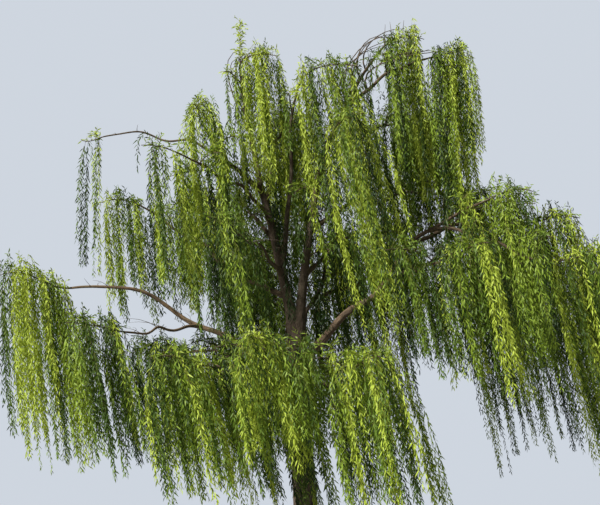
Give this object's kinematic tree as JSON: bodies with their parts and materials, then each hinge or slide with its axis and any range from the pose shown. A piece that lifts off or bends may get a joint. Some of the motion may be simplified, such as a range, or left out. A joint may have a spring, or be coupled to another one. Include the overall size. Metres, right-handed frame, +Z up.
{
  "type": "weeping willow tree",
  "caption": "Tall weeping willow in leaf: a leaning trunk forks into arching limbs that carry long hanging curtains of narrow leaves, combed sideways by a breeze.",
  "frame": {"origin": "centre of the flat cut under the trunk, at ground level", "axes": "+Z up the trunk, +X towards the tree's right as it is usually seen, the way the breeze blows, -Y towards its near side"},
  "size_m": [16.526, 11.7722, 14.529],
  "materials": {
    "bark": "deeply furrowed grey-brown bark, matte",
    "young_bark": "smoother olive-brown to tan bark of younger limbs, matte",
    "leaf": "narrow yellow-green leaves on thin hanging twigs, slightly glossy"
  },
  "bodies": {
    "root": {"trunk": "bark", "stem_left": "bark", "stem_right": "bark", "limb_centre": "bark", "limb_upper_left": "young_bark", "limb_far_left": "young_bark", "limb_left_inner": "young_bark", "limb_left_mid": "young_bark", "limb_left_near": "young_bark", "limb_top_near": "young_bark", "limb_upper_right": "young_bark", "limb_right_inner": "young_bark", "limb_top_back": "young_bark", "limb_top_back_right": "young_bark", "limb_back_left_mid": "young_bark", "limb_back_right_mid": "young_bark", "bough_right": "bark", "limb_right_outer": "young_bark", "limb_right_far": "young_bark", "limb_right_near": "young_bark", "limb_right_low": "young_bark", "bough_left": "bark", "limb_left_low": "young_bark", "bough_near_left": "young_bark", "bough_near": "young_bark", "bough_near_right": "young_bark", "bough_back_left": "young_bark", "bough_back": "young_bark", "bough_back_right": "bark", "limb_back_far_right": "young_bark", "foliage_spire": "leaf", "foliage_top_right": "leaf", "foliage_top_centre": "leaf", "foliage_upper_left": "leaf", "foliage_far_left": "leaf", "foliage_left_inner": "leaf", "foliage_left_mid": "leaf", "foliage_left_near": "leaf", "foliage_top_near": "leaf", "foliage_upper_right": "leaf", "foliage_right_inner": "leaf", "foliage_top_back": "leaf", "foliage_top_back_right": "leaf", "foliage_back_left_mid": "leaf", "foliage_back_right_mid": "leaf", "foliage_right": "leaf", "foliage_right_outer": "leaf", "foliage_right_far": "leaf", "foliage_right_near": "leaf", "foliage_right_low": "leaf", "foliage_left": "leaf", "foliage_left_low": "leaf", "foliage_near_left": "leaf", "foliage_near": "leaf", "foliage_near_right": "leaf", "foliage_back_left": "leaf", "foliage_back": "leaf", "foliage_back_right": "leaf", "foliage_back_far_right": "leaf"}
  },
  "joints": []
}
